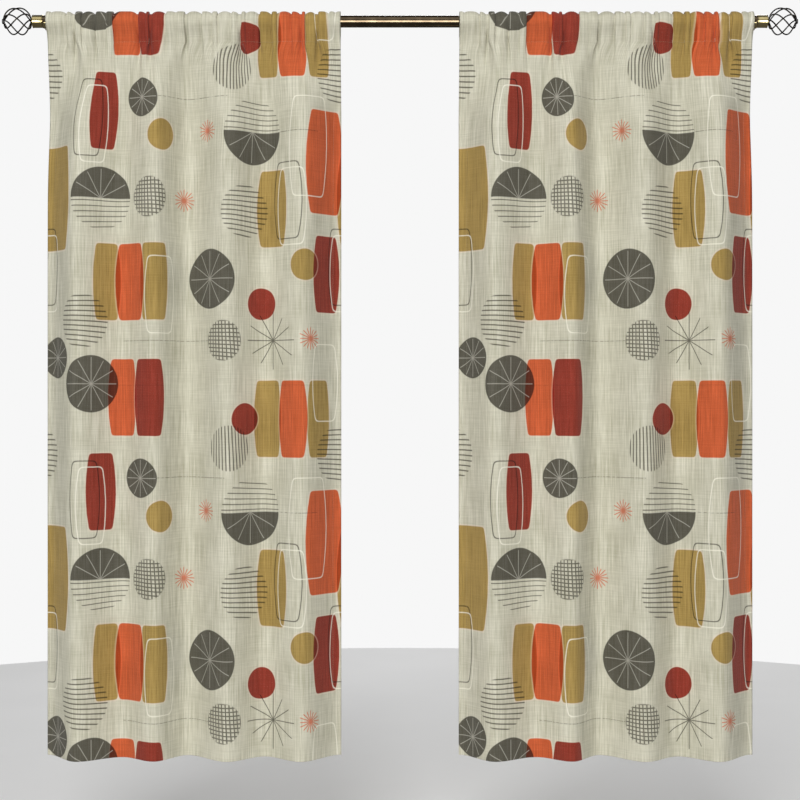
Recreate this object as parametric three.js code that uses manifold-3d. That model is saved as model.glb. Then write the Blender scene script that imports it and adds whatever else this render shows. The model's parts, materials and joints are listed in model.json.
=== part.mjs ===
// Rod-pocket curtains: two gathered panels on an adjustable metal rod with spiral cage finials,
// carried by two wall brackets. Millimetres, +Z up. The origin lies on the wall, midway between the
// brackets and level with the rod. The wall is the plane y = 0 and the room is towards -Y.
import * as THREE from "three";
import { mergeVertices } from "three/addons/utils/BufferGeometryUtils.js";
import Module from "manifold-3d";

const wasm = await Module();
wasm.setup();

// ---- Driving dimensions -------------------------------------------------------------------------
const JOINT_GAP = 0.3; // air between pieces that touch, press or screw together
const ROUND = 28; // facets round a tube
const SMALL_ROUND = 20; // facets round a screw, a rivet or its hole
const POCKET_SEGMENTS = 18; // half the facets of the pocket's arch
const CRADLE_SEGMENTS = 16;
const CORNER_SEGMENTS = 6;
const WIRE_SEGMENTS = 4;

// Rod
const ROD_DIAMETER = 25.4;
const TUBE_WALL = 1.0;
const PROJECTION = 89; // wall to the rod's axis
const JOIN_INSET = 123; // from the right panel's inner edge to the end of the left tube
const JOIN_GAP = 60; // inner tube left bare between the two outer tubes
const LEFT_ENGAGEMENT = 400; // inner tube inside the left tube
const INNER_RESERVE = 12; // between the inner tube's cap and the right end plug
const GLIDE_LENGTH = 10;
const GLIDE_FLANGE = 1.6;
const RIVET_SETBACK = 40; // from the left tube's end
const RIVET_RADIUS = 1.8;
const RIVET_TAIL = 1; // inside the inner tube

// Panels
const PANEL_WIDTH = 625; // gathered
const PANEL_SPACING = 254; // between the two inner edges
const CLOTH_WIDTH = 800; // flat, between the two side folds
const PANEL_DROP = 1573; // rod's axis to the lower edge
const FOLDS = 4;
const FACETS_PER_FOLD = 8;
const FACETS_DOWN = 9; // of the cloth, from the pocket's seam to the bottom hem
const CLOTH_THICKNESS = 1.8;
const HEM_THICKNESS = 2.6;
const BOTTOM_HEM = 90;
const SIDE_HEM = 20;
const POCKET_SEAM = 44; // below the rod's axis
const POCKET_CLEARANCE = 0.8; // round the rod
const POCKET_THICKNESS = 3; // gathered cloth
const SEAM_HALF_WIDTH = 3;
const FOLD_DEPTH_AT_SEAM = 3;
const FOLD_GROWTH = 620; // how far below the seam the folds reach their full depth

// Brackets
const CRADLE_CLEARANCE = 1; // beside the panel
const CRADLE_WIDTH = 7;
const CRADLE_WALL = 2;
const CRADLE_BACK_HEIGHT = 10; // above the rod's axis
const CRADLE_LIP_ANGLE = 20; // degrees below level at which the front lip ends
const ARM_DIAMETER = 9;
const COVER = { width: 22, height: 60, depth: 11, wall: 1.5, corner: 6 };
const PLATE = { width: 16, height: 54, thickness: 2.5, corner: 4 };
const WALL_SCREW_SPACING = 40;
const WALL_SCREW_HOLE = 5;
const ARM_SCREW = { radius: 2, length: 12, headRadius: 4, head: 2.4 };
const SCREW_HOLE_SPARE = 1; // past a screw's end
const CRADLE_SCREW = { radius: 1.5, headRadius: 3.2, head: 5, slope: 45 }; // slope: degrees below level
const LOCK_SCREW = { radius: 1.5, headRadius: 2.6, head: 1.2, inset: 5.5 }; // inset: from the wall

// Finials
const NECK_GAP = 1; // between the cradle and the neck
const NECK_LENGTH = 22;
const NECK_WALL = 1;
const NECK_END_WALL = 2.7;
const NECK_BEAD = 0.5; // height of the raised bead at each end of the neck
const NECK_BEAD_WIDTH = 1;
const PLUG_LENGTH = 18;
const STUD_RADIUS = 3.8;
const STUD_IN_PLUG = 15;
const HUB_RIM = 0.4; // past the wires
const HUB_THICKNESS = 1.6;
const CAGE_DIAMETER = 61.5;
const WIRE_DIAMETER = 3;
const WIRE_COUNT = 6;
const WIRE_END_GAP = 0.7; // between neighbouring wires where they meet a hub
const WIRE_TWIST = Math.PI; // round the rod's axis from one end of the cage to the other
const WIRE_PHASE = THREE.MathUtils.degToRad(-11); // of the first wire, from the room side, upwards
const WIRE_STEPS = 18;

// ---- Derived places -----------------------------------------------------------------------------
const rodRadius = ROD_DIAMETER / 2;
const boreRadius = rodRadius - TUBE_WALL;
const innerRadius = boreRadius - JOINT_GAP;
const panelInner = PANEL_SPACING / 2;
const panelOuter = panelInner + PANEL_WIDTH;
const cradleInner = panelOuter + CRADLE_CLEARANCE;
const cradleOuter = cradleInner + CRADLE_WIDTH;
const bracketX = (cradleInner + cradleOuter) / 2;
const neckInner = cradleOuter + NECK_GAP;
const neckOuter = neckInner + NECK_LENGTH;
const tubeEnd = neckOuter - NECK_END_WALL - JOINT_GAP;
const hubInner = neckOuter + JOINT_GAP;
const hubOuter = hubInner + HUB_THICKNESS;
const leftTubeEnd = panelInner + JOIN_INSET;
const rightTubeStart = leftTubeEnd + JOIN_GAP;
const plugInner = tubeEnd - PLUG_LENGTH;
const wireRadius = WIRE_DIAMETER / 2;
const wireCircle = (wireRadius + WIRE_END_GAP / 2) / Math.sin(Math.PI / WIRE_COUNT); // of wire ends
const hubRadius = wireCircle + wireRadius + HUB_RIM;

// ---- Materials ----------------------------------------------------------------------------------
const finish = (color, roughness, metalness) =>
  new THREE.MeshStandardMaterial({ color, roughness, metalness });
const bronze = finish(0x5a4f3f, 0.3, 1);
const brass = finish(0x9a9068, 0.35, 1);
const blackIron = finish(0x1c1a17, 0.45, 1);
const steel = finish(0x8d8f92, 0.35, 1);
const nylon = finish(0xd8d6cf, 0.5, 0);
const printedCloth = finish(0xc3c0ae, 0.9, 0);
const hemCloth = finish(0xb9b6a4, 0.9, 0);

// ---- Shape helpers ------------------------------------------------------------------------------

// Turns every face the other way if the closed geometry is inside out.
function facingOut(geometry) {
  const solid = geometry.index ? geometry.toNonIndexed() : geometry;
  const p = solid.getAttribute("position");
  const [a, b, c] = [new THREE.Vector3(), new THREE.Vector3(), new THREE.Vector3()];
  let volume = 0;
  for (let i = 0; i < p.count; i += 3) {
    a.fromBufferAttribute(p, i);
    b.fromBufferAttribute(p, i + 1);
    c.fromBufferAttribute(p, i + 2);
    volume += a.dot(b.cross(c));
  }
  if (volume > 0) return solid;
  for (let i = 0; i < p.count; i += 3) {
    a.fromBufferAttribute(p, i + 1);
    b.fromBufferAttribute(p, i + 2);
    p.setXYZ(i + 1, b.x, b.y, b.z);
    p.setXYZ(i + 2, a.x, a.y, a.z);
  }
  return solid;
}

// A turned piece whose axis is X: the profile's points are [x, radius].
function turned(profile, facets = ROUND) {
  const points = profile.map(([x, r]) => new THREE.Vector2(r, x));
  return facingOut(new THREE.LatheGeometry(points, facets).rotateZ(-Math.PI / 2));
}

// A turned ring or tube: the profile of its wall, closed on itself.
const turnedRing = (profile) => turned([...profile, profile[0]]);

const tube = (x0, x1, outer, inner) =>
  turnedRing([[x0, outer], [x1, outer], [x1, inner], [x0, inner]]);

const bar = (x0, x1, radius, facets = ROUND) =>
  turned([[x0, 0], [x0, radius], [x1, radius], [x1, 0]], facets);

// A screw whose shank starts at x = 0 and whose head ends it at the far side, along +X.
const screw = (radius, length, headRadius, head) =>
  turned([[0, 0], [0, radius], [length, radius], [length, headRadius], [length + head, headRadius],
    [length + head, 0]], SMALL_ROUND);

// Swings a piece turned about X so that its +X becomes +Y, into the wall.
const towardsWall = (geometry) => geometry.rotateZ(Math.PI / 2);

// A flat outline drawn in the Y (towards the wall) and Z plane, extruded along X.
function extrudedAlongX(outline, x0, x1, curveSegments) {
  const made = new THREE.ExtrudeGeometry(outline, { depth: x1 - x0, bevelEnabled: false, curveSegments });
  made.applyMatrix4(new THREE.Matrix4().set(0, 0, 1, x0, 1, 0, 0, 0, 0, 1, 0, 0, 0, 0, 0, 1));
  return facingOut(made);
}

// A flat outline drawn in X and Z, extruded along Y from y0 to y1.
function extrudedAlongY(outline, y0, y1) {
  const curveSegments = CORNER_SEGMENTS;
  const made = new THREE.ExtrudeGeometry(outline, { depth: y1 - y0, bevelEnabled: false, curveSegments });
  made.applyMatrix4(new THREE.Matrix4().set(1, 0, 0, 0, 0, 0, 1, y0, 0, 1, 0, 0, 0, 0, 0, 1));
  return facingOut(made);
}

function roundedRectangle(width, height, corner) {
  const [w, h] = [width / 2, height / 2];
  const outline = new THREE.Shape();
  outline.moveTo(w - corner, -h);
  outline.absarc(w - corner, -h + corner, corner, -Math.PI / 2, 0);
  outline.absarc(w - corner, h - corner, corner, 0, Math.PI / 2);
  outline.absarc(-w + corner, h - corner, corner, Math.PI / 2, Math.PI);
  outline.absarc(-w + corner, -h + corner, corner, Math.PI, 1.5 * Math.PI);
  outline.closePath();
  return outline;
}

function circularHole(x, y, radius) {
  return new THREE.Path().absarc(x, y, radius, 0, 2 * Math.PI, true);
}

// ---- Boolean helpers ----------------------------------------------------------------------------
function solidOf(geometry) {
  const bare = new THREE.BufferGeometry();
  bare.setAttribute("position", facingOut(geometry).getAttribute("position"));
  const merged = mergeVertices(bare, 1e-4);
  const vertProperties = new Float32Array(merged.getAttribute("position").array);
  const triVerts = new Uint32Array(merged.index.array);
  return new wasm.Manifold(new wasm.Mesh({ numProp: 3, vertProperties, triVerts }));
}

function geometryOf(solid) {
  const mesh = solid.getMesh();
  const geometry = new THREE.BufferGeometry();
  geometry.setAttribute("position", new THREE.BufferAttribute(mesh.vertProperties, 3));
  geometry.setIndex(new THREE.BufferAttribute(mesh.triVerts, 1));
  return geometry;
}

function cut(geometry, ...tools) {
  let solid = solidOf(geometry);
  for (const tool of tools) solid = solid.subtract(solidOf(tool));
  return geometryOf(solid);
}

function named(name, geometry, material) {
  const mesh = new THREE.Mesh(geometry, material);
  mesh.name = name;
  return mesh;
}

// ---- Curtain panels -----------------------------------------------------------------------------

// Half the depth of the folds whose arc length over PANEL_WIDTH is CLOTH_WIDTH.
function fullFoldDepth() {
  const steps = 2000;
  const turns = 2 * Math.PI * FOLDS;
  const arcLength = (depth) => {
    let length = 0;
    for (let i = 0; i < steps; i++) {
      const slope = ((depth * turns) / PANEL_WIDTH) * Math.sin((turns * (i + 0.5)) / steps);
      length += (Math.hypot(1, slope) * PANEL_WIDTH) / steps;
    }
    return length;
  };
  let [low, high] = [0, PANEL_WIDTH];
  for (let i = 0; i < 40; i++) {
    const middle = (low + high) / 2;
    if (arcLength(middle) < CLOTH_WIDTH) low = middle;
    else high = middle;
  }
  return low;
}

const foldDepth = fullFoldDepth();

// The cloth's place across the rod at a point of the panel: +Y is towards the wall.
function foldAt(x, z) {
  const growth = THREE.MathUtils.smoothstep(-POCKET_SEAM - z, 0, FOLD_GROWTH);
  const depth = THREE.MathUtils.lerp(FOLD_DEPTH_AT_SEAM, foldDepth, growth);
  return depth * Math.cos((2 * Math.PI * FOLDS * x) / PANEL_WIDTH);
}

// A folded strip of cloth between two places across and two heights. Its front and back are divided alike,
// so they stay the same distance apart where the folds grow.
function foldedCloth(x0, x1, bottom, top, thickness, rows) {
  const columns = Math.max(2, Math.round(((x1 - x0) / PANEL_WIDTH) * FOLDS * FACETS_PER_FOLD));
  const wide = columns + 1;
  const back = wide * (rows + 1);
  const positions = [];
  const index = [];
  for (const side of [-0.5, 0.5])
    for (let row = 0; row <= rows; row++)
      for (let column = 0; column <= columns; column++) {
        const x = THREE.MathUtils.lerp(x0, x1, column / columns);
        const z = THREE.MathUtils.lerp(bottom, top, row / rows);
        positions.push(x, foldAt(x, z) + side * thickness, z);
      }
  const quad = (a, b, c, d) => index.push(a, b, c, a, c, d);
  for (let row = 0; row < rows; row++)
    for (let column = 0; column < columns; column++) {
      const a = row * wide + column;
      quad(a, a + 1, a + 1 + wide, a + wide);
      quad(back + a, back + a + wide, back + a + wide + 1, back + a + 1);
    }
  for (let column = 0; column < columns; column++) {
    const upper = rows * wide + column;
    quad(column + 1, column, back + column, back + column + 1);
    quad(upper, upper + 1, back + upper + 1, back + upper);
  }
  for (let row = 0; row < rows; row++) {
    const [left, right] = [row * wide, row * wide + columns];
    quad(left, left + wide, back + left + wide, back + left);
    quad(right + wide, right, back + right, back + right + wide);
  }
  const cloth = new THREE.BufferGeometry();
  cloth.setAttribute("position", new THREE.Float32BufferAttribute(positions, 3));
  cloth.setIndex(index);
  return facingOut(cloth);
}

// The outline of the pocket's outer or inner face: over the rod, then down to the seam.
function pocketOutline(radius, halfWidth, depth, PathClass) {
  const reach = Math.hypot(halfWidth, depth);
  const tangent = Math.atan2(-depth, halfWidth) + Math.acos(radius / reach);
  const outline = new PathClass();
  outline.moveTo(halfWidth, -depth);
  outline.lineTo(radius * Math.cos(tangent), radius * Math.sin(tangent));
  outline.absarc(0, 0, radius, tangent, Math.PI - tangent, false);
  outline.lineTo(-halfWidth, -depth);
  outline.closePath();
  return outline;
}

function rodPocket() {
  const inside = rodRadius + POCKET_CLEARANCE;
  const outline = pocketOutline(inside + POCKET_THICKNESS, SEAM_HALF_WIDTH, POCKET_SEAM, THREE.Shape);
  const seamAllowance = 2 * POCKET_THICKNESS;
  outline.holes.push(pocketOutline(inside, SEAM_HALF_WIDTH / 4, POCKET_SEAM - seamAllowance, THREE.Path));
  return extrudedAlongX(outline, 0, PANEL_WIDTH, POCKET_SEGMENTS);
}

function panel(side, x) {
  const group = new THREE.Group();
  group.position.set(x, -PROJECTION, 0);
  const top = -POCKET_SEAM - JOINT_GAP;
  const hemTop = -PANEL_DROP + BOTTOM_HEM;
  const clothBottom = hemTop + JOINT_GAP;
  const rightHem = PANEL_WIDTH - SIDE_HEM;
  const [left, right] = [SIDE_HEM + JOINT_GAP, rightHem - JOINT_GAP];
  group.add(
    named(`${side}_panel_rod_pocket`, rodPocket(), printedCloth),
    named(`${side}_panel_cloth`,
      foldedCloth(left, right, clothBottom, top, CLOTH_THICKNESS, FACETS_DOWN), printedCloth),
    named(`${side}_panel_left_side_hem`,
      foldedCloth(0, SIDE_HEM, clothBottom, top, HEM_THICKNESS, FACETS_DOWN), hemCloth),
    named(`${side}_panel_right_side_hem`,
      foldedCloth(rightHem, PANEL_WIDTH, clothBottom, top, HEM_THICKNESS, FACETS_DOWN), hemCloth),
    named(`${side}_panel_bottom_hem`,
      foldedCloth(0, PANEL_WIDTH, -PANEL_DROP, hemTop, HEM_THICKNESS, 1), hemCloth),
  );
  return group;
}

// ---- Rod ----------------------------------------------------------------------------------------
function rod() {
  const group = new THREE.Group();
  group.position.y = -PROJECTION;
  const innerStart = leftTubeEnd - LEFT_ENGAGEMENT;
  const innerEnd = plugInner - INNER_RESERVE;
  const rivetX = leftTubeEnd - RIVET_SETBACK;
  const rivetFoot = innerRadius - TUBE_WALL - RIVET_TAIL;
  const towardsWallAtRivet = (geometry) => towardsWall(geometry).translate(rivetX, 0, 0);
  const rivetHole = () => towardsWallAtRivet(bar(0, ROD_DIAMETER, RIVET_RADIUS + JOINT_GAP, SMALL_ROUND));
  const plug = (x0, x1) => tube(x0, x1, boreRadius - JOINT_GAP, STUD_RADIUS + JOINT_GAP);
  const glide = (x, away) => {
    const [end, seat, face] = [-GLIDE_LENGTH, JOINT_GAP, JOINT_GAP + GLIDE_FLANGE].map((at) => x + away * at);
    const outside = innerRadius - TUBE_WALL - JOINT_GAP;
    return turned([
      [end, 0], [end, outside], [seat, outside], [seat, innerRadius], [face, innerRadius], [face, 0],
    ]);
  };
  group.add(
    named("rod_left_tube", cut(tube(-tubeEnd, leftTubeEnd, rodRadius, boreRadius), rivetHole()), bronze),
    named("rod_right_tube", tube(rightTubeStart, tubeEnd, rodRadius, boreRadius), bronze),
    named("rod_inner_tube",
      cut(tube(innerStart, innerEnd, innerRadius, innerRadius - TUBE_WALL), rivetHole()), steel),
    named("rod_inner_left_glide", glide(innerStart, -1), nylon),
    named("rod_inner_right_glide", glide(innerEnd, 1), nylon),
    named("rod_join_rivet", towardsWallAtRivet(bar(rivetFoot, rodRadius, RIVET_RADIUS, SMALL_ROUND)), steel),
    named("rod_left_end_plug", plug(-tubeEnd, -plugInner), nylon),
    named("rod_right_end_plug", plug(plugInner, tubeEnd), nylon),
  );
  return group;
}

// ---- Finials ------------------------------------------------------------------------------------

// One wire of the cage: from the hub to the tip disc over a ball, turning round the rod's axis.
class CageWire extends THREE.Curve {
  constructor(centre, radius, phase) {
    super();
    this.centre = centre;
    this.radius = radius;
    this.phase = phase;
    this.start = Math.asin(wireCircle / radius);
  }

  getPoint(t, target = new THREE.Vector3()) {
    const polar = THREE.MathUtils.lerp(this.start, Math.PI - this.start, t);
    const turn = this.phase - (polar - Math.PI / 2) * (WIRE_TWIST / Math.PI);
    const reach = this.radius * Math.sin(polar);
    const x = this.centre - this.radius * Math.cos(polar);
    return target.set(x, -reach * Math.cos(turn), reach * Math.sin(turn));
  }
}

function cageWire(centre, radius, phase) {
  const section = new THREE.Shape().absarc(0, 0, wireRadius, 0, 2 * Math.PI);
  return facingOut(new THREE.ExtrudeGeometry(section, {
    extrudePath: new CageWire(centre, radius, phase),
    steps: WIRE_STEPS,
    curveSegments: WIRE_SEGMENTS,
    bevelEnabled: false,
  }));
}

function finial(side, mirror) {
  const group = new THREE.Group();
  group.position.y = -PROJECTION;
  group.scale.x = mirror;
  const ballRadius = (CAGE_DIAMETER - WIRE_DIAMETER) / 2;
  const poleReach = Math.sqrt(ballRadius ** 2 - wireCircle ** 2);
  const centre = hubOuter + JOINT_GAP + wireRadius + poleReach;
  const tipInner = centre + poleReach + wireRadius + JOINT_GAP;
  const neckBore = rodRadius + JOINT_GAP;
  const neckRadius = neckBore + NECK_WALL;
  const studHole = STUD_RADIUS + JOINT_GAP;
  const waist = neckRadius - NECK_BEAD;
  const beadEnd = NECK_BEAD_WIDTH + NECK_BEAD;
  const neck = turnedRing([
    [neckInner, neckBore], [neckInner, neckRadius], [neckInner + NECK_BEAD_WIDTH, neckRadius],
    [neckInner + beadEnd, waist], [neckOuter - beadEnd, waist],
    [neckOuter - NECK_BEAD_WIDTH, neckRadius], [neckOuter, neckRadius], [neckOuter, studHole],
    [neckOuter - NECK_END_WALL, studHole], [neckOuter - NECK_END_WALL, neckBore],
  ]);
  const disc = (x0, x1) => turned([[x0, 0], [x0, hubRadius - HUB_RIM], [(x0 + x1) / 2, hubRadius],
    [x1, hubRadius - HUB_RIM], [x1, 0]]);
  const stud = bar(plugInner + PLUG_LENGTH - STUD_IN_PLUG, neckOuter, STUD_RADIUS);
  group.add(
    named(`${side}_finial_neck`, neck, brass),
    named(`${side}_finial_stud`, stud, steel),
    named(`${side}_finial_hub`, disc(hubInner, hubOuter), blackIron),
    named(`${side}_finial_tip_disc`, disc(tipInner, tipInner + HUB_THICKNESS), blackIron),
  );
  for (let i = 0; i < WIRE_COUNT; i++) {
    const phase = WIRE_PHASE + (i * 2 * Math.PI) / WIRE_COUNT;
    group.add(named(`${side}_finial_wire_${i + 1}`, cageWire(centre, ballRadius, phase), blackIron));
  }
  return group;
}

// ---- Wall brackets ------------------------------------------------------------------------------

// The open-topped strap under the rod, seen along X: a tall back, a round bottom and a short front lip.
function cradleOutline() {
  const inside = rodRadius + JOINT_GAP;
  const outside = inside + CRADLE_WALL;
  const lip = Math.PI + THREE.MathUtils.degToRad(CRADLE_LIP_ANGLE);
  const outline = new THREE.Shape();
  outline.moveTo(inside, CRADLE_BACK_HEIGHT);
  outline.lineTo(inside, 0);
  outline.absarc(0, 0, inside, 0, lip - 2 * Math.PI, true);
  outline.lineTo(outside * Math.cos(lip), outside * Math.sin(lip));
  outline.absarc(0, 0, outside, lip - 2 * Math.PI, 0, false);
  outline.lineTo(outside, CRADLE_BACK_HEIGHT);
  outline.closePath();
  return outline;
}

function bracket(side, mirror) {
  const group = new THREE.Group();
  group.scale.x = mirror;
  const coverFront = -COVER.depth;
  const cradleBack = -PROJECTION + rodRadius + JOINT_GAP + CRADLE_WALL;
  const armEnd = cradleBack + JOINT_GAP;
  const armStart = coverFront - JOINT_GAP;
  const armRadius = ARM_DIAMETER / 2;
  const armHole = ARM_SCREW.radius + JOINT_GAP;
  const armHoleEnd = armStart - ARM_SCREW.length - SCREW_HOLE_SPARE;

  const plateOutline = roundedRectangle(PLATE.width, PLATE.height, PLATE.corner);
  for (const end of [-1, 1])
    plateOutline.holes.push(circularHole(0, (end * WALL_SCREW_SPACING) / 2, WALL_SCREW_HOLE / 2));
  const plate = extrudedAlongY(plateOutline, -PLATE.thickness, 0);

  const inner = [COVER.width - 2 * COVER.wall, COVER.height - 2 * COVER.wall, COVER.corner - COVER.wall];
  const lockZ = -COVER.height / 2;
  const lockY = -LOCK_SCREW.inset;
  const screwDown = (geometry) => geometry.rotateY(Math.PI / 2);
  const cover = cut(
    extrudedAlongY(roundedRectangle(COVER.width, COVER.height, COVER.corner), coverFront, -JOINT_GAP),
    extrudedAlongY(roundedRectangle(...inner), coverFront + COVER.wall, COVER.wall),
    towardsWall(bar(coverFront - COVER.wall, 0, armHole, SMALL_ROUND)),
    screwDown(bar(-2 * COVER.wall, 2 * COVER.wall, LOCK_SCREW.radius + JOINT_GAP, SMALL_ROUND))
      .translate(0, lockY, lockZ),
  );

  const arm = turned([
    [armEnd, 0], [armEnd, armRadius], [armStart, armRadius], [armStart, armHole],
    [armHoleEnd, armHole], [armHoleEnd, 0],
  ]);
  const armScrew = screw(ARM_SCREW.radius, ARM_SCREW.length, ARM_SCREW.headRadius, ARM_SCREW.head);
  const armScrewHeadSeat = coverFront + COVER.wall + JOINT_GAP;

  const atSlope = (geometry) => towardsWall(geometry).rotateX(-THREE.MathUtils.degToRad(CRADLE_SCREW.slope));
  const cradle = cut(
    extrudedAlongX(cradleOutline(), -CRADLE_WIDTH / 2, CRADLE_WIDTH / 2, CRADLE_SEGMENTS),
    atSlope(bar(0, ROD_DIAMETER, CRADLE_SCREW.radius + JOINT_GAP, SMALL_ROUND)),
  );
  const tip = rodRadius + JOINT_GAP;
  const shank = CRADLE_WALL + JOINT_GAP;
  const cradleScrew = screw(CRADLE_SCREW.radius, shank, CRADLE_SCREW.headRadius, CRADLE_SCREW.head);
  const lockShank = COVER.wall + 2 * JOINT_GAP + SCREW_HOLE_SPARE;
  const lockScrew = screw(LOCK_SCREW.radius, lockShank, LOCK_SCREW.headRadius, LOCK_SCREW.head);

  const fittings = new THREE.Group();
  fittings.position.x = bracketX;
  fittings.add(
    named(`${side}_wall_plate`, plate, steel),
    named(`${side}_bracket_cover`, cover, brass),
    named(`${side}_bracket_arm`, towardsWall(arm), brass),
    named(`${side}_arm_screw`,
      towardsWall(armScrew).translate(0, armScrewHeadSeat - ARM_SCREW.length, 0), steel),
    named(`${side}_rod_cradle`, cradle.translate(0, -PROJECTION, 0), brass),
    named(`${side}_cradle_screw`,
      atSlope(cradleScrew.translate(tip, 0, 0)).translate(0, -PROJECTION, 0), brass),
    named(`${side}_cover_lock_screw`,
      screwDown(lockScrew).translate(0, lockY, lockZ - JOINT_GAP + lockShank), steel),
  );
  group.add(fittings);
  return group;
}

// ---- Assembly -----------------------------------------------------------------------------------
const curtains = new THREE.Group();
curtains.add(
  bracket("left", -1),
  bracket("right", 1),
  rod(),
  finial("left", -1),
  finial("right", 1),
  panel("left", -panelOuter),
  panel("right", panelInner),
);

export default curtains;
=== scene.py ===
"""Looks of the rod-pocket curtains: gathered printed cloth, bronze rod, cage finials and wall brackets.

Sizes are in metres. Only the print is drawn in millimetres of the flat cloth: x from the panel's left edge
and y downwards from the rod's axis.
"""
import json
import math

import bpy
import numpy as np
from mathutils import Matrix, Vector


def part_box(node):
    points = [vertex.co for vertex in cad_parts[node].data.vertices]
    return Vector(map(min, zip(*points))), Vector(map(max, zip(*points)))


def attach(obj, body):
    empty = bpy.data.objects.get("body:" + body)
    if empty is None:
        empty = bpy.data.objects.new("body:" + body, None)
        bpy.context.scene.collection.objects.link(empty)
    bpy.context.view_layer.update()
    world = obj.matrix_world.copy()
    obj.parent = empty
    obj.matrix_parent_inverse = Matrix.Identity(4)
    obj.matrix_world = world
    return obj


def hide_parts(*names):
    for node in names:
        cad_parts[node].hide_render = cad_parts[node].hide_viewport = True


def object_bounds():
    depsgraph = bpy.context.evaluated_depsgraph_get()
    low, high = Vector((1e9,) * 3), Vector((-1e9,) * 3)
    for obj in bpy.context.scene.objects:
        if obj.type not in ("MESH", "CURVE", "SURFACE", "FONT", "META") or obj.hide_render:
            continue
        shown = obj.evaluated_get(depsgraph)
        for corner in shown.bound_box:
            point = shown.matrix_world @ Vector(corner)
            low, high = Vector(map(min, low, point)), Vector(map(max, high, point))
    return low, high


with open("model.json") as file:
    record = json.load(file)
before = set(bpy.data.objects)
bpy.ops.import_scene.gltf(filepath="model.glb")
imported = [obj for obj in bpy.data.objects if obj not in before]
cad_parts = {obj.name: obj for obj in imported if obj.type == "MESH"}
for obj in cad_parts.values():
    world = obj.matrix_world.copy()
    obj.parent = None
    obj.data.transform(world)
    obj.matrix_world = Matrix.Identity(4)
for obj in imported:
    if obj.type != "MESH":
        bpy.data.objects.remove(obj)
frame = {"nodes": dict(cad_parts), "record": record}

CAD_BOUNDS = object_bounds()
SIDES = ("left", "right")

# ---- Places taken from the frame
tube_low, tube_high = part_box("rod_left_tube")
ROD_RADIUS = (tube_high.z - tube_low.z) / 2
ROD_Y = (tube_high.y + tube_low.y) / 2
ROD_Z = (tube_high.z + tube_low.z) / 2

# ---- The cloth as it was cut and sewn
FLAT_WIDTH = 0.800  # between the two side folds
SIDE_TURN = 0.022  # turned to the back at each side
HEM_TURN = 0.090  # turned up at the back
POCKET_TAIL = 0.006  # of the back layer below the seam
LAYER_GAP = 0.0016  # between the middles of two layers of cloth
CLOTH_THICKNESS = 0.0006
POCKET_EASE = 0.0024  # between the rod and the middle of the nearest folds of the pocket
FOLD_STEPS = (0.0006, 0.0015, 0.004)  # of the sheet's mesh, close to a folded edge
FOLD_EDGE = 0.0015  # length of cloth in which a folded-over layer reaches its gap
CORNER_FADE = 0.012  # beyond the side turns, where the hem drops back from four layers to two
SEAM_LAP = 0.012  # above the seam, where the pocket's back layer lies against its front
BACK_TURN = 0.6  # share of the pocket's back in which its cloth comes to face the wall
CREASED_LENGTH = 0.30  # below the seam, with closer rows
COLUMNS = 288
SAMPLES_ACROSS = 1600
PRINT_SHIFT = {"left": 0.0, "right": 0.0046}  # of the print on each panel, to the right

# Main folds at the hem: the share across the panel, and how far the cloth stands towards the room.
FOLD_EXTREMES = (
    (0.000, -0.040), (0.118, 0.027), (0.261, -0.017), (0.377, 0.025), (0.478, -0.036),
    (0.622, 0.028), (0.742, -0.023), (0.869, 0.028), (1.000, -0.040),
)
FOLD_SHARPNESS = 0.45  # 0 is a sine wave, 1 is a zigzag
FOLD_AT_SEAM = 0.22  # share of the folds' full depth at the pocket's seam
FOLD_GROWTH = 0.18  # how far below the seam the folds are full

# Puckers where the pocket is bunched up on the rod: the share across, their depth and how far they run down.
PUCKERS = (
    (0.018, 0.5, 0.03), (0.060, 0.8, 0.06), (0.086, 1.4, 0.17), (0.128, 0.7, 0.05), (0.158, 1.0, 0.07),
    (0.196, 0.6, 0.04), (0.236, 0.8, 0.05), (0.302, 1.2, 0.09), (0.331, 0.7, 0.05), (0.361, 1.3, 0.14),
    (0.398, 0.8, 0.05), (0.436, 0.5, 0.04), (0.481, 1.1, 0.17), (0.520, 0.8, 0.06), (0.556, 0.7, 0.04),
    (0.590, 0.8, 0.05), (0.622, 0.7, 0.05), (0.651, 1.5, 0.20), (0.684, 0.6, 0.04), (0.716, 1.0, 0.11),
    (0.757, 0.9, 0.06), (0.792, 0.7, 0.05), (0.826, 0.8, 0.05), (0.858, 1.1, 0.10), (0.889, 0.8, 0.05),
    (0.912, 1.4, 0.16), (0.954, 0.7, 0.05), (0.984, 0.5, 0.03),
)
PUCKER_DEPTH = 0.0100
PUCKER_WIDTH = 0.0028
PUCKER_CONTRAST = 2.0  # the power of a pucker's strength that its depth follows
PUCKER_TAIL = 2.2  # how quickly a pucker's sides run out flat
PUCKER_LEAN = 1.25  # how far a pucker falls sideways for each metre of its depth
LEAN_LIMIT = 0.0065
STRAIGHT_EDGE = 0.02  # of cloth beside the panel's edges, in which the leaning dies away
PUCKER_SPREAD = 0.16  # how much wider a pucker is for each metre below the seam
PUCKER_CREST = 0.0058  # how far the cloth between the puckers stands off the rod
CREST_LENGTH = 0.05  # below the seam, in which the crests die away
ROOM_IN_POCKET = 0.0066  # for the puckers to go back, below the rod
ROOM_BELOW = 0.020  # and how much more below the seam
FLARE = 0.0085  # how much further out the panels' outer edges hang below the seam
FLARE_LENGTH = 0.35  # below the seam, in which they spread

# Sewing
STITCH_PITCH = 0.0040
STITCH_LENGTH = 0.0033
THREAD_RADIUS = 0.00014
THREAD_SIDES = 6
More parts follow.
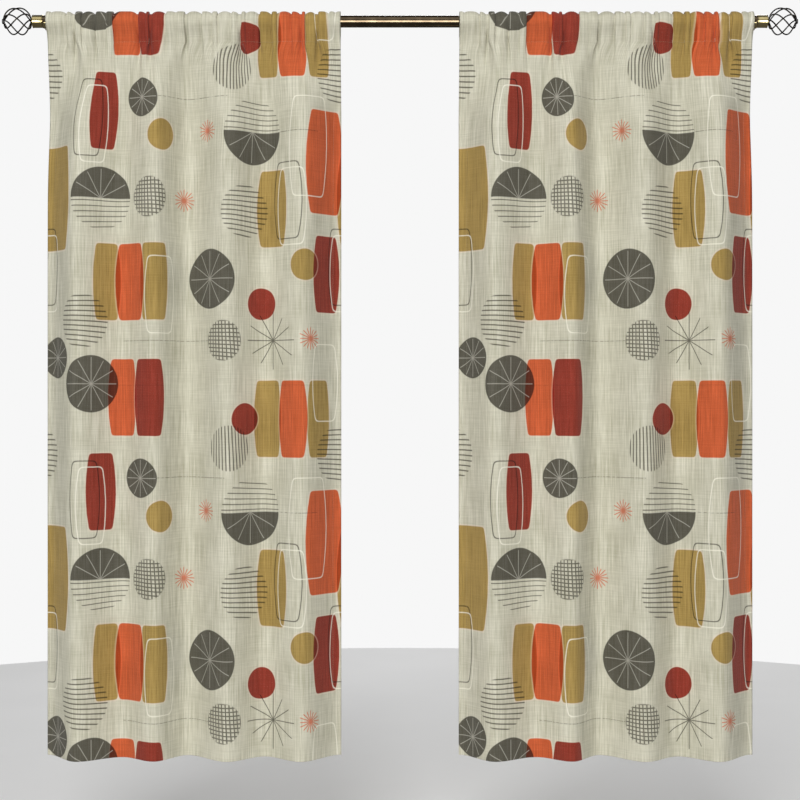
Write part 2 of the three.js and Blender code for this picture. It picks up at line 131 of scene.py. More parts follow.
# Along one stitch: the share of its length, and the lift and thickness as shares of the thread's radius.
STITCH_RINGS = ((0.0, -0.9, 0.6), (0.2, 0.0, 1.0), (0.5, 0.3, 1.0), (0.8, 0.0, 1.0), (1.0, -0.9, 0.6))
SIDE_SEAM_INSET = 0.003  # from the turned edge to the stitching

# Metal pieces
JOINT_GAP = 0.0003
TUBE_WALL = 0.001
TUBE_ROUND = 0.0003  # of the tubes' edges
RIVET_HOLE_RADIUS = 0.0021
NECK_BEAD = 0.0005
NECK_BEAD_WIDTH = 0.001
NECK_BORE = ROD_RADIUS + JOINT_GAP
NECK_END_WALL = 0.0027
STUD_HOLE = 0.0041
WIRE_RADIUS = 0.0015
WIRE_COUNT = 6
WIRE_END_GAP = 0.0007
WIRE_PHASE = math.radians(-11)
WIRE_STEPS = 72
CAGE_RADIUS = 0.02925  # of the wires' middle lines
CRADLE_WALL = 0.002
SCREW_RADIUS = 0.0015
THUMB_RADIUS = 0.0032
ARM_HOLE = 0.0023
ARM_HOLE_DEPTH = 0.013
ARM_EDGE = 0.0004
COLLAR_RISE = 0.0016  # of the arm where it meets the cover
COLLAR_WIDTH = 0.003
KNURL_DEPTH = 0.0005
KNURL_FLUTES = 20
CRADLE_END = -160  # degrees round the rod from its wall side, where the cradle's front lip ends
COVER_WALL = 0.0015
COVER_CORNER = 0.006
COVER_ROUND = 0.003
PANEL_INSET = 0.0035  # of the sunk panel on the cover's front
PANEL_SLOPE = 0.0012
PANEL_DEPTH = 0.0006
LOCK_HOLE = 0.0018

# The print, in millimetres
REPEAT = 812.8  # both ways
WOBBLE = 1.4  # of the hand-drawn edges
HALO_WIDTH = 2.6
SPOKE = 0.36  # how much a pale spoke covers the ink under it
HALF_HATCH = 11.2  # spacing of the lines that finish a half disc
WEAVE_PITCH = 0.9

# Studio
CAMERA_DISTANCE = 3.4
VIEW_WIDTH = 1.7067  # at the rod
VIEW_CENTRE_Z = -0.8075
SENSOR_MM = 36.0
FLOOR_RADIUS = 3.0
FLOOR_SIDES = 96
FLOOR_DROP = 0.23  # below the hems
WORLD_STRENGTH = 0.14
BACKGROUND = 0.93  # how bright the world looks to the camera


def smooth(t):
    """0 below 0, 1 above 1, and a soft step between."""
    t = np.clip(t, 0.0, 1.0)
    return t * t * (3 - 2 * t)


def fold_depth(share):
    """How far the main folds stand towards the room, at shares across the panel."""
    depth = np.zeros_like(share)
    for (a, high), (b, low) in zip(FOLD_EXTREMES, FOLD_EXTREMES[1:]):
        inside = (share >= a) & (share <= b)
        turn = np.cos(np.pi * (share[inside] - a) / (b - a))
        bent = np.arcsin(FOLD_SHARPNESS * turn) / math.asin(FOLD_SHARPNESS)
        depth[inside] = (high + low) / 2 + bent * (high - low) / 2
    return depth


def pucker_depth(share, width, below_seam):
    """How far the puckers pull the cloth back along one row of the panel, and the same with the sign of the
    side that each falls to."""
    depth, leaning = np.zeros_like(share), np.zeros_like(share)
    for k, (place, strength, run) in enumerate(PUCKERS):
        fade = math.exp(-((below_seam / run) ** 1.4)) if below_seam > 0 else 1.0
        reach = PUCKER_WIDTH + PUCKER_SPREAD * max(below_seam, 0.0) * run / 0.1
        away = (share - place) * width / reach
        pulled = strength ** PUCKER_CONTRAST * fade * np.exp(1.0 - np.sqrt(1.0 + PUCKER_TAIL * away * away))
        depth += pulled
        leaning += pulled * fade * (1 if k % 3 else -1)
    return PUCKER_DEPTH * depth, PUCKER_DEPTH * leaning


def run_lengths(share, width, depth):
    """The length along a row of cloth at each sample."""
    return np.concatenate([[0.0], np.cumsum(np.hypot(np.diff(share) * width, np.diff(depth)))])


def full_fold_size(width):
    """The size of the main folds that takes up the whole flat width where there are no puckers."""
    share = np.linspace(0.0, 1.0, SAMPLES_ACROSS)
    folds = fold_depth(share)
    low, high = 0.0, 3.0
    for _ in range(40):
        middle = (low + high) / 2
        if run_lengths(share, width, middle * folds)[-1] < FLAT_WIDTH:
            low = middle
        else:
            high = middle
    return low


def cloth_row(width, below_seam, fold_size):
    """One level row of cloth: the places across of its evenly spaced columns, how far the main folds stand
    forward there, how far the puckers pull back, and the puckers' signed depth."""
    share = np.linspace(0.0, 1.0, SAMPLES_ACROSS)
    grown = FOLD_AT_SEAM + (1 - FOLD_AT_SEAM) * smooth(below_seam / FOLD_GROWTH)
    folds = fold_size * grown * fold_depth(share)
    puckers, leaning = pucker_depth(share, width, below_seam)
    along = run_lengths(share, width, folds - puckers)
    along *= FLAT_WIDTH / along[-1]
    places = np.linspace(0.0, FLAT_WIDTH, COLUMNS + 1)
    return [np.interp(places, along, v) for v in (share * width, folds, puckers, leaning)]


def row_plan(seam_z, bottom_z):
    """The rows of the sheet, from the turned-up edge of the hem round to the end of the pocket's back layer.
    Each is (s, y, z, outward y, outward z, metres below the seam, share of the seam's folds, layers in
    front). s is the length along the cloth from the hem's fold, and is negative where it is turned up."""
    drop = seam_z - bottom_z
    rod_depth = ROD_Z - seam_z
    radius = ROD_RADIUS + POCKET_EASE
    tangent = math.acos(radius / rod_depth)
    straight = rod_depth * math.sin(tangent)
    wrap = 2 * math.pi - 2 * tangent
    hem = [*FOLD_STEPS, *np.linspace(0.0, HEM_TURN, 7)[1:]]
    creased = drop - CREASED_LENGTH
    above_hem = [*np.linspace(HEM_TURN, creased, 52)[1:], *np.linspace(creased, drop, 42)[1:]]
    rows = [(s, 0.0, bottom_z + abs(s), -1.0, 0.0, drop - abs(s), 1.0, 0)
            for s in [-s for s in reversed(hem)] + [0.0] + hem + above_hem]

    def pocket_side(t, front):
        """A row of the pocket's flat front or back, from the seam (t = 0) up to the rod (t = 1)."""
        angle = -math.pi / 2 - (tangent if front else -tangent)
        up = t * (rod_depth + radius * math.sin(angle))
        out_y = -1.0 if front else 2 * smooth(t / BACK_TURN) - 1
        round_rod = max(2 * t - 1, 0.0)
        out = (out_y * (1 - round_rod) + math.cos(angle) * round_rod, math.sin(angle) * round_rod)
        in_front = 0 if front or up > SEAM_LAP else 1
        return t * radius * math.cos(angle), seam_z + up, *out, 0.0, smooth((1 - t) / 0.7), in_front

    s = drop
    rows += [(s + straight * t, *pocket_side(t, True)) for t in np.linspace(0, 1, 9)[1:]]
    s += straight
    for t in np.linspace(0, 1, 27)[1:-1]:
        angle = -math.pi / 2 - tangent - wrap * t
        out = (math.cos(angle), math.sin(angle))
        rows.append((s + radius * wrap * t, radius * out[0], ROD_Z + radius * out[1], *out, 0.0, 0.0, 0))
    s += radius * wrap
    rows += [(s + straight * (1 - t), *pocket_side(t, False)) for t in np.linspace(1, 0, 9)]
    s += straight
    rows += [(s + tail, 0.0, seam_z - tail, -1.0, 0.0, tail, 1.0, 1)
             for tail in (0.0, POCKET_TAIL / 2, POCKET_TAIL)]
    return rows, drop, s + POCKET_TAIL


def layers_in_front(edge_distance, turned, s):
    """How many layers of cloth lie in front of a point, where the sides and the hem are turned back."""
    side_fold = smooth(edge_distance / FOLD_EDGE)
    if s >= 0:
        return np.where(turned, side_fold, 0.0)
    near_side = 1 - smooth((edge_distance - SIDE_TURN) / CORNER_FADE)
    return smooth(-s / FOLD_EDGE) * (1 + side_fold * np.where(turned, 1.0, 2 * near_side))


def cloth_columns():
    """The places of the sheet's columns on the flat cloth. Those past the two edges are turned back."""
    face = np.linspace(0.0, FLAT_WIDTH, COLUMNS + 1)
    turn = np.array([*FOLD_STEPS, 0.009, 0.0155, SIDE_TURN])
    return np.concatenate([-turn[::-1], face, FLAT_WIDTH + turn])


def panel_points(side):
    """The middle surface of one panel as rows and columns of points, with its (x, y) on the flat cloth, its
    outward directions, each row's length from the hem's fold, the seam's length from there, and the flat
    cloth's whole length."""
    pocket_low, pocket_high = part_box(f"{side}_panel_rod_pocket")
    hem_low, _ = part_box(f"{side}_panel_bottom_hem")
    left, width = pocket_low.x, pocket_high.x - pocket_low.x
    rows, drop, end = row_plan(pocket_low.z, hem_low.z)
    fold_size = full_fold_size(width)
    columns = cloth_columns()
    on_face = np.abs(columns)
    on_face = np.where(on_face > FLAT_WIDTH, 2 * FLAT_WIDTH - on_face, on_face)
    turned = (columns < 0) | (columns > FLAT_WIDTH)
    edge_distance = np.minimum(on_face, FLAT_WIDTH - on_face)
    face = np.linspace(0.0, FLAT_WIDTH, COLUMNS + 1)
    points, outwards, flat = [], [], []
    for s, y, z, out_y, out_z, below, seam_fold, in_front in rows:
        row = cloth_row(width, below, fold_size)
        across, folds, puckers, leaning = (np.interp(on_face, face, v) for v in row)
        crest = PUCKER_CREST * math.exp(-below / CREST_LENGTH)
        room = ROOM_IN_POCKET * seam_fold ** 2 + ROOM_BELOW * smooth(below / CREST_LENGTH)
        stand_off = np.maximum(crest - puckers, -room)
        leaning *= (crest - stand_off) / np.maximum(puckers, 1e-9)
        aside = LEAN_LIMIT * np.tanh(PUCKER_LEAN * leaning / LEAN_LIMIT)
        aside *= smooth(edge_distance / STRAIGHT_EDGE)
        out = stand_off - LAYER_GAP * (layers_in_front(edge_distance, turned, s) + in_front)
        outer_share = 1 - across / width if left < 0 else across / width
        flared = math.copysign(FLARE, left) * outer_share * smooth(below / FLARE_LENGTH)
        place = (left + across + flared + aside, ROD_Y + y + out * out_y - folds * seam_fold, z + out * out_z)
        points.append(np.column_stack(place))
        outwards.append(np.tile((0.0, out_y, out_z), (len(columns), 1)))
        flat.append(np.column_stack([columns, np.full(len(columns), ROD_Z - hem_low.z - s)]))
    lengths = np.array([row[0] for row in rows])
    return np.array(points), np.array(flat), np.array(outwards), lengths, drop, end + HEM_TURN


# ---- Mesh helpers
def linked(name, data):
    """An object in the scene that shows this mesh, lamp or camera."""
    made = bpy.data.objects.new(name, data)
    bpy.context.scene.collection.objects.link(made)
    return made


def new_object(name, vertices, faces, materials=()):
    """A mesh object, shaded smooth."""
    mesh = bpy.data.meshes.new(name)
    mesh.from_pydata([tuple(v) for v in vertices], [], [tuple(f) for f in faces])
    made = linked(name, mesh)
    for material in materials:
        mesh.materials.append(material)
    mesh.shade_smooth()
    mesh.update()
    return made


def grid_faces(rows, columns):
    first = (np.arange(rows - 1)[:, None] * columns + np.arange(columns - 1)[None, :]).ravel()
    return np.column_stack([first, first + 1, first + columns + 1, first + columns])


def band(first, second, count):
    """The faces between two rings of points."""
    return [(first + i, first + (i + 1) % count, second + (i + 1) % count, second + i) for i in range(count)]


def ring_faces(rings, count):
    """The faces of a body that is a series of rings of points, closed with a flat face at each end."""
    faces = [face for k in range(rings - 1) for face in band(k * count, (k + 1) * count, count)]
    last = (rings - 1) * count
    return faces + [tuple(range(count))[::-1], tuple(range(last, last + count))]


def sharpen(made, degrees):
    """Keeps the edges that turn more than this sharp."""
    made.data.set_sharp_from_angle(angle=math.radians(degrees))


def apply_modifiers(made):
    """Replaces the object's mesh with what its modifiers make of it."""
    graph = bpy.context.evaluated_depsgraph_get()
    result = bpy.data.meshes.new_from_object(made.evaluated_get(graph), depsgraph=graph)
    made.modifiers.clear()
    made.data = result
    result.name = made.name


def lathe(name, profile, origin=None, axis=(1, 0, 0), segments=96, sharp=35, flutes=0):
    """A turned piece. The profile's points are (place along the axis, radius) and, where it is fluted, the
    flutes' depth there. It closes on itself unless it starts and ends on the axis."""
    origin = Vector(origin if origin is not None else (0.0, ROD_Y, ROD_Z))
    axis = Vector(axis).normalized()
    aside = axis.orthogonal().normalized()
    upright = axis.cross(aside)
    on_axis = profile[0][1] == 0 and profile[-1][1] == 0
    rim = profile[1:-1] if on_axis else profile
    vertices = []
    for along, radius, *flute in rim:
        for k in range(segments):
            angle = 2 * math.pi * k / segments
            reach = radius - (flute[0] * (0.5 + 0.5 * math.cos(flutes * angle)) if flute else 0.0)
            around = aside * math.cos(angle) + upright * math.sin(angle)
            vertices.append(origin + axis * along + around * reach)
    faces = []
    for k in range(len(rim) - 1 if on_axis else len(rim)):
        faces += band(k * segments, (k + 1) % len(rim) * segments, segments)
    if on_axis:
        vertices += [origin + axis * profile[0][0], origin + axis * profile[-1][0]]
        last, end = (len(rim) - 1) * segments, len(rim) * segments
        faces += [(end, (i + 1) % segments, i) for i in range(segments)]
        faces += [(end + 1, last + i, last + (i + 1) % segments) for i in range(segments)]
    made = new_object(name, vertices, faces)
    facing_out(made)
    sharpen(made, sharp)
    return made


def rounded(profile, size, steps=3):
    """The profile with each corner that isn't on the axis rounded off."""
    closed = profile[0][1] != 0
    count = len(profile)
    made = []
    for k, (x, radius) in enumerate(profile):
        if radius == 0 or (not closed and k in (0, count - 1)):
            made.append((x, radius))
            continue
        corner = Vector((x, radius))
        before, after = Vector(profile[k - 1]), Vector(profile[(k + 1) % count])
        reach = min(size, (before - corner).length / 2.1, (after - corner).length / 2.1)
        start = corner + (before - corner).normalized() * reach
        end = corner + (after - corner).normalized() * reach
        for step in range(steps + 1):
            t = step / steps
            point = start * (1 - t) ** 2 + corner * 2 * t * (1 - t) + end * t * t
            made.append((point.x, point.y))
    return made


def sweep(name, path, radius, segments=16):
    """A round bar along a path of points, with closed ends."""
    path = [Vector(point) for point in path]
    tangents = [(b - a).normalized() for a, b in zip([path[0]] + path[:-1], path[1:] + [path[-1]])]
    aside = tangents[0].orthogonal().normalized()
    vertices = []
    for point, tangent in zip(path, tangents):
        aside = (aside - tangent * aside.dot(tangent)).normalized()
        upright = tangent.cross(aside)
        for k in range(segments):
            angle = 2 * math.pi * k / segments
            vertices.append(point + (aside * math.cos(angle) + upright * math.sin(angle)) * radius)
    made = new_object(name, vertices, ring_faces(len(path), segments))
    facing_out(made)
    sharpen(made, 50)
    return made


def extrusion(name, outline, x0, x1, bevel=0.0004):
    """An outline of (y, z) points extruded along X, with its edges rounded."""
    vertices = [(x, y, z) for x in (x0, x1) for y, z in outline]
    made = new_object(name, vertices, ring_faces(2, len(outline)))
    facing_out(made)
    edge = made.modifiers.new("edge", "BEVEL")
    edge.width, edge.segments, edge.limit_method = bevel, 2, "ANGLE"
    edge.angle_limit = math.radians(30)
    apply_modifiers(made)
    sharpen(made, 35)
    return made


def bore(made, origin, axis, radius, length):
    """Cuts a round hole through a piece."""
    half = length / 2
    drill = lathe("drill", [(-half, 0), (-half, radius), (half, radius), (half, 0)], origin, axis, 32)
    cutter = made.modifiers.new("hole", "BOOLEAN")
    cutter.operation, cutter.solver, cutter.object = "DIFFERENCE", "EXACT", drill
    apply_modifiers(made)
    bpy.data.objects.remove(drill)
    sharpen(made, 35)


def facing_out(made):
    """Turns a closed mesh's faces outwards."""
    mesh = made.data
    mesh.calc_loop_triangles()
    places = np.array([v.co for v in mesh.vertices])
    a, b, c = (places[corner] for corner in np.array([t.vertices for t in mesh.loop_triangles]).T)
    if (a * np.cross(b, c)).sum() < 0:
        mesh.flip_normals()


# ---- Material helpers
def linear(red, green, blue):
    """A colour given as 0 to 255 on a screen, as the shader's linear colour."""
    def channel(v):
        v /= 255
        return v / 12.92 if v <= 0.04045 else ((v + 0.055) / 1.055) ** 2.4
    return (channel(red), channel(green), channel(blue), 1.0)


class Shading:
    """A material's node tree, with a short call for each kind of node."""

    def __init__(self, name):
        self.material = bpy.data.materials.new(name)
        self.material.use_nodes = True
        self.tree = self.material.node_tree
        self.shader = self.tree.nodes["Principled BSDF"]

    def put(self, socket, value):
        if isinstance(value, bpy.types.NodeSocket):
            self.tree.links.new(value, socket)
        else:
            socket.default_value = value

    def math(self, operation, *values, clamp=False):
        node = self.tree.nodes.new("ShaderNodeMath")
        node.operation, node.use_clamp = operation, clamp
        for socket, value in zip(node.inputs, values):
            self.put(socket, value)
        return node.outputs[0]

    def times(self, a, b):
        return self.math("MULTIPLY", a, b)

    def minus(self, a, b):
        return self.math("SUBTRACT", a, b)

    def vector(self, operation, *values):
        node = self.tree.nodes.new("ShaderNodeVectorMath")
        node.operation = operation
        for socket, value in zip(node.inputs, values):
            self.put(socket, value)
        return node.outputs["Value" if operation in ("LENGTH", "DOT_PRODUCT", "DISTANCE") else "Vector"]

    def split(self, vector):
        node = self.tree.nodes.new("ShaderNodeSeparateXYZ")
        self.put(node.inputs[0], vector)
        return node.outputs[0], node.outputs[1], node.outputs[2]

    def mix(self, factor, a, b, blend="MIX"):
        node = self.tree.nodes.new("ShaderNodeMix")
        node.data_type, node.blend_type = "RGBA", blend
        self.put(node.inputs["Factor"], factor)
        self.put(node.inputs[6], a)
        self.put(node.inputs[7], b)
        return node.outputs[2]

    def noise(self, vector, scale, detail=2.0, roughness=0.5):
        node = self.tree.nodes.new("ShaderNodeTexNoise")
        self.put(node.inputs["Vector"], vector)
        for key, value in (("Scale", scale), ("Detail", detail), ("Roughness", roughness)):
            node.inputs[key].default_value = value
        return node.outputs["Fac"]

    def ramp(self, value, low, high, to_low=0.0, to_high=1.0):
        node = self.tree.nodes.new("ShaderNodeMapRange")
        for socket, v in zip(node.inputs, (value, low, high, to_low, to_high)):
            self.put(socket, v)
        return node.outputs[0]

    def position(self):
        return self.tree.nodes.new("ShaderNodeTexCoord").outputs["Object"]

    def bump(self, height, distance, strength=1.0):
        node = self.tree.nodes.new("ShaderNodeBump")
        node.inputs["Strength"].default_value = strength
        node.inputs["Distance"].default_value = distance
        self.put(node.inputs["Height"], height)
        self.put(self.shader.inputs["Normal"], node.outputs[0])

    def surface(self, **settings):
        for key, value in settings.items():
            self.put(self.shader.inputs[key.replace("_", " ").title().replace("Ior", "IOR")], value)
        return self.material


def metal(name, bright, dark, roughness, wear=None, grain=900.0):
    """A plated or lacquered metal, mottled between two colours, with fine grain and uneven gloss."""
    m = Shading(name)
    place = m.position()
    mottle = m.noise(place, 55.0, 4.0, 0.6)
    colour = m.mix(m.ramp(mottle, 0.35, 0.68), dark, bright)
    if wear:
        edges = m.tree.nodes.new("ShaderNodeNewGeometry").outputs["Pointiness"]
        worn = m.times(m.ramp(edges, 0.53, 0.60), m.ramp(m.noise(place, 240.0), 0.4, 0.6))
        colour = m.mix(worn, colour, wear)
    fine = m.noise(m.vector("MULTIPLY", place, (0.12, 1.0, 1.0)), grain, 2.0)
    gloss = m.ramp(fine, 0.3, 0.7, roughness * 0.8, roughness * 1.25)
    m.bump(fine, 0.00002, 0.35)
    return m.surface(base_color=colour, metallic=1.0, roughness=gloss)


def bronze():
    """Dark bronze plating, polished along the tube."""
    return metal("dark_bronze", linear(112, 98, 78), linear(88, 76, 60), 0.13, linear(170, 140, 100))


def brass():
    """Antique brass, paler on its edges."""
    return metal("antique_brass", linear(200, 184, 134), linear(176, 160, 114), 0.16, linear(228, 214, 168))


def black_wire():
    """Black lacquer, worn on the wires' crests."""
    return metal("black_lacquered_wire", linear(62, 58, 50), linear(34, 32, 29), 0.24, linear(120, 112, 92))


def zinc():
    """Bright zinc plating, slightly cloudy."""
    return metal("zinc_plate", linear(190, 192, 194), linear(158, 161, 165), 0.34, grain=500.0)


def nylon():
    """Off-white moulded nylon."""
    m = Shading("moulded_nylon")
    place = m.position()
    m.bump(m.noise(place, 700.0, 3.0), 0.00003, 0.4)
    colour = m.mix(m.noise(place, 60.0), linear(205, 202, 193), linear(222, 220, 212))
    return m.surface(base_color=colour, roughness=m.ramp(m.noise(place, 300.0), 0.3, 0.7, 0.38, 0.55),
                     subsurface_weight=0.06)


# ---- The printed cloth
CHARCOAL = (0.168, 0.162, 0.152, 1)
ORANGE = (0.95, 0.184, 0.068, 1)
RED = (0.45, 0.058, 0.037, 1)
OLIVE = (0.63, 0.44, 0.158, 1)
PINK = (1.0, 0.30, 0.20, 1)
WHITE = linear(232, 229, 214)
HALO = linear(236, 208, 186)


class Print(Shading):
    """The print, drawn motif by motif over the cloth's colour. Lengths are millimetres of the flat cloth."""

    def start(self, shift):
        uv = self.tree.nodes.new("ShaderNodeUVMap")
        uv.uv_map = "print"
        self.cloth = self.vector("MULTIPLY", uv.outputs[0], (1000.0, 1000.0, 0.0))
        wobble = self.noise(self.cloth, 0.035, 3.0, 0.6)
        drawn = self.vector("ADD", self.cloth, (-1000 * shift, 0.0, 0.0))
        self.place = self.vector("ADD", drawn, self.slanted(self.minus(wobble, 0.5), WOBBLE))
        self.fleck = self.ramp(self.noise(self.cloth, 0.55, 3.0, 0.7), 0.22, 0.42, 0.80, 1.0)

    def slanted(self, value, size):
        """A value as a shift to one side and a little up."""
        combine = self.tree.nodes.new("ShaderNodeCombineXYZ")
        for socket, factor in zip(combine.inputs, (size, -0.7 * size)):
            self.put(socket, self.times(value, factor))
        return combine.outputs[0]

    def about(self, x, y):
        """The place on the cloth measured from the nearest repeat of a motif at (x, y)."""
        half = REPEAT / 2
        apart = self.vector("SUBTRACT", self.place, (x, y, 0.0))
        return self.vector("WRAP", apart, (half, half, 1.0), (-half, -half, -1.0))

    def ink(self, mask, colour, blend="MULTIPLY", amount=1.0):
        """Prints a colour over what is there, where the mask is 1."""
        if amount != 1.0:
            mask = self.times(mask, amount)
        self.colour = self.mix(mask, self.colour, colour, blend)

    def inside(self, distance, edge=1.6):
        """1 where the distance is below nought, with a soft edge."""
        return self.math("MULTIPLY_ADD", distance, -1 / edge, 0.5, clamp=True)

    def fill(self, distance, colour):
        """Prints the inside of a shape, with a faint pale halo round it."""
        shape = self.inside(distance)
        halo = self.minus(self.inside(self.minus(distance, HALO_WIDTH), 3.0), shape)
        self.ink(halo, HALO, "MIX", 0.30)
        self.ink(self.times(shape, self.fleck), colour)

    def lozenge_distance(self, x, y, half_width, half_height, corner=11.0):
        """How far a place is outside a tall lozenge with bowed sides and round corners."""
        px, py, _ = self.split(self.about(x, y))
        bow = 0.23 * half_width / half_height ** 2
        across = self.math("MULTIPLY_ADD", self.times(py, py), bow, self.math("ABSOLUTE", px))
        along = self.math("ADD", self.math("ABSOLUTE", py), half_width - half_height)
        reach = self.math("SMOOTH_MAX", across, along, corner)
        return self.minus(reach, half_width)

    def lozenge(self, x, y, half_width, half_height, colour):
        self.fill(self.lozenge_distance(x, y, half_width, half_height), colour)

    def outline(self, x, y, half_width, half_height, colour, width=2.2, blend="MULTIPLY", amount=0.9):
        off_line = self.math("ABSOLUTE", self.lozenge_distance(x, y, half_width, half_height, 15.0))
        self.ink(self.inside(self.minus(off_line, width / 2), 1.4), colour, blend, amount)

    def disc(self, x, y, radius, colour):
        self.fill(self.minus(self.vector("LENGTH", self.about(x, y)), radius), colour)

    def rays(self, px, py, off_centre, count, width):
        """1 on rays that leave the centre at even angles."""
        angle = self.math("ARCTAN2", px, py)
        share = self.math("PINGPONG", self.times(angle, count / (2 * math.pi)), 0.5)
        off_ray = self.times(share, self.times(off_centre, 2 * math.pi / count))
        return self.inside(self.minus(off_ray, width / 2), 1.3)

    def spoked_disc(self, x, y, radius, half=0, count=12):
        """A charcoal disc with pale spokes. With half it is only the lower (1) or upper (-1) half, and the
        rest of the circle is hatched with level lines."""
        about = self.about(x, y)
        px, py, _ = self.split(about)
        off_centre = self.vector("LENGTH", about)
        mask = self.inside(self.minus(off_centre, radius))
        if half:
            filled = self.inside(self.times(py, -half))
            level = self.math("MULTIPLY_ADD", self.times(px, py), 0.0012, py)
            off_line = self.math("PINGPONG", self.math("ADD", level, HALF_HATCH / 2), HALF_HATCH / 2)
            line = self.inside(self.minus(off_line, 1.1), 1.3)
            other_half = self.times(mask, self.minus(1.0, filled))
            hatch = self.times(other_half, line)
            self.ink(hatch, CHARCOAL, amount=0.85)
            mask = self.times(mask, filled)
        self.ink(self.times(mask, self.fleck), CHARCOAL)
        spokes = self.rays(px, py, off_centre, count, 1.5)
        short = self.inside(self.minus(off_centre, radius * 0.93))
        self.ink(self.times(self.times(mask, spokes), short), WHITE, "MIX", SPOKE)

    def hatched_disc(self, x, y, radius, spacing, level=True, upright=False, slope=0.04, width=2.7):
        """A circle filled with drawn lines, level, upright or both."""
        about = self.about(x, y)
        px, py, _ = self.split(about)
        mask = self.inside(self.minus(self.vector("LENGTH", about), radius), 3.0)
        lines = None
        for wanted, along, over in ((level, px, py), (upright, py, px)):
            if not wanted:
                continue
            fanned = self.math("MULTIPLY_ADD", over, -slope / 30, -slope)
            tilted = self.math("MULTIPLY_ADD", along, fanned, over)
            off_line = self.math("PINGPONG", tilted, spacing / 2)
            drawn = self.inside(self.minus(off_line, width / 2), 1.4)
            lines = drawn if lines is None else self.math("MAXIMUM", lines, drawn)
        self.ink(self.times(mask, lines), CHARCOAL, amount=0.92)

    def star(self, x, y, radius, core, colour, count=12, width=1.5, amount=0.85, blend="MULTIPLY"):
        about = self.about(x, y)
        px, py, _ = self.split(about)
        off_centre = self.vector("LENGTH", about)
        ends = self.noise(self.vector("NORMALIZE", about), 3.0)
        reach = self.math("MULTIPLY_ADD", ends, -0.9 * radius, 1.25 * radius)
        near = self.inside(self.minus(off_centre, reach), 2.0)
        rays = self.times(near, self.rays(px, py, off_centre, count, width))
        heart = self.inside(self.minus(off_centre, core))
        self.ink(self.math("MAXIMUM", rays, heart), colour, blend, amount)

    def rule(self, x, y, half_length, colour, amount=0.7, width=1.4):
        """A level drawn line, broken up by the weave."""
        px, py, _ = self.split(self.about(x, y))
        on_line = self.inside(self.minus(self.math("ABSOLUTE", py), width / 2), 1.2)
        within = self.inside(self.minus(self.math("ABSOLUTE", px), half_length), 2.0)
        broken = self.ramp(self.noise(self.place, 0.16, 2.0), 0.40, 0.52, 0.25, 1.0)
        self.ink(self.times(self.times(on_line, within), broken), colour, amount=amount)


def draw_motifs(m):
    """The mid-century print: rounded lozenges, spoked, plain and hatched discs, stars and thin rules."""
    for place in ((30, 376, 52.5, 111), (613, 398, 39, 82), (171, 555, 31, 82), (292, 555, 35, 82),
                  (601, 848, 34, 82), (736, 848, 33, 82)):
        m.lozenge(*place, OLIVE)
    for place in ((209, 802, 34, 82), (752, 299, 52.5, 111), (229, 555, 38, 82), (667, 848, 37, 82)):
        m.lozenge(*place, ORANGE)
    for place in ((158, 190, 34, 82), (278, 802, 39, 82), (758, 539, 38, 82)):
        m.lozenge(*place, RED)
    for x, y, radius in ((136, 773, 61), (451, 549, 64), (257, 161, 42), (34, 717, 44)):
        m.spoked_disc(x, y, radius)
    m.spoked_disc(557, 234, 71, half=1)
    m.spoked_disc(157, 377, 67, half=-1)
    for x, y in ((542, 848), (584, 602)):
        m.disc(x, y, 34, RED)
    for x, y in ((308, 242), (699, 520)):
        m.disc(x, y, 33.5, OLIVE)
    for x, y in ((541, 405), (117, 639), (788, 925)):
        m.hatched_disc(x, y, 57, 10.6)
    m.hatched_disc(503, 910, 48.5, 7.6, level=False, upright=True)
    for x, y in ((278, 375), (488, 681)):
        m.hatched_disc(x, y, 43, 8.4, upright=True)
    for place in ((122, 206, 33, 82), (654, 382, 38, 82), (805, 521, 38, 82)):
        m.outline(*place, CHARCOAL)
    for place in ((136, 219, 33, 82), (710, 267, 50, 107), (664, 395, 38, 82), (308, 583, 38, 82),
                  (810, 535, 38, 82), (755, 771, 37, 82)):
        m.outline(*place, WHITE, width=2.1, blend="MIX", amount=0.72)
    m.star(612, 680, 78, 3.0, CHARCOAL, width=1.9, amount=0.95)
    for x, y in ((438, 231), (375, 378), (712, 677)):
        m.star(x, y, 30, 5.2, PINK, count=16, width=2.1, amount=0.95)
    for x, y, half_length in ((396, 160, 97), (681, 234, 50), (326, 681, 118)):
        m.rule(x, y, half_length, CHARCOAL)
    for x, y, half_length in ((244, 776, 72), (668, 776, 101)):
        m.rule(x, y, half_length, CHARCOAL, amount=0.25)


def cloth_material(name, shift, reverse=False):
    """Printed linen-look cotton: slubbed plain weave with the print on its face, paler through the back."""
    m = Print(name)
    m.start(shift)
    upright = m.noise(m.vector("MULTIPLY", m.cloth, (0.34, 0.011, 1.0)), 1.0, 3.0, 0.62)
    level = m.noise(m.vector("MULTIPLY", m.cloth, (0.013, 0.42, 1.0)), 1.0, 3.0, 0.62)
    patch = m.noise(m.cloth, 0.012, 2.0)
    slub = m.math("MULTIPLY_ADD", level, 0.32, m.times(upright, 0.88))
    slub = m.math("MULTIPLY_ADD", patch, 0.25, slub)
    m.colour = m.mix(m.ramp(slub, 0.56, 0.90), linear(172, 169, 148), linear(209, 206, 188))
    draw_motifs(m)
    if reverse:
        m.colour = m.mix(0.55, m.colour, linear(206, 203, 184))
    px, py, _ = m.split(m.cloth)
    warp = m.math("SINE", m.times(px, 2 * math.pi / WEAVE_PITCH))
    weft = m.math("SINE", m.times(py, 2 * math.pi / WEAVE_PITCH))
    weave = m.math("MULTIPLY_ADD", m.times(warp, weft), 0.5, m.times(slub, 2.2))
    m.bump(weave, 0.00022, 0.5)
    gloss = m.ramp(slub, 0.56, 0.90, 0.95, 0.80)
    return m.surface(base_color=m.colour, roughness=gloss, specular_ior_level=0.22, sheen_weight=0.10,
                     sheen_roughness=0.5)


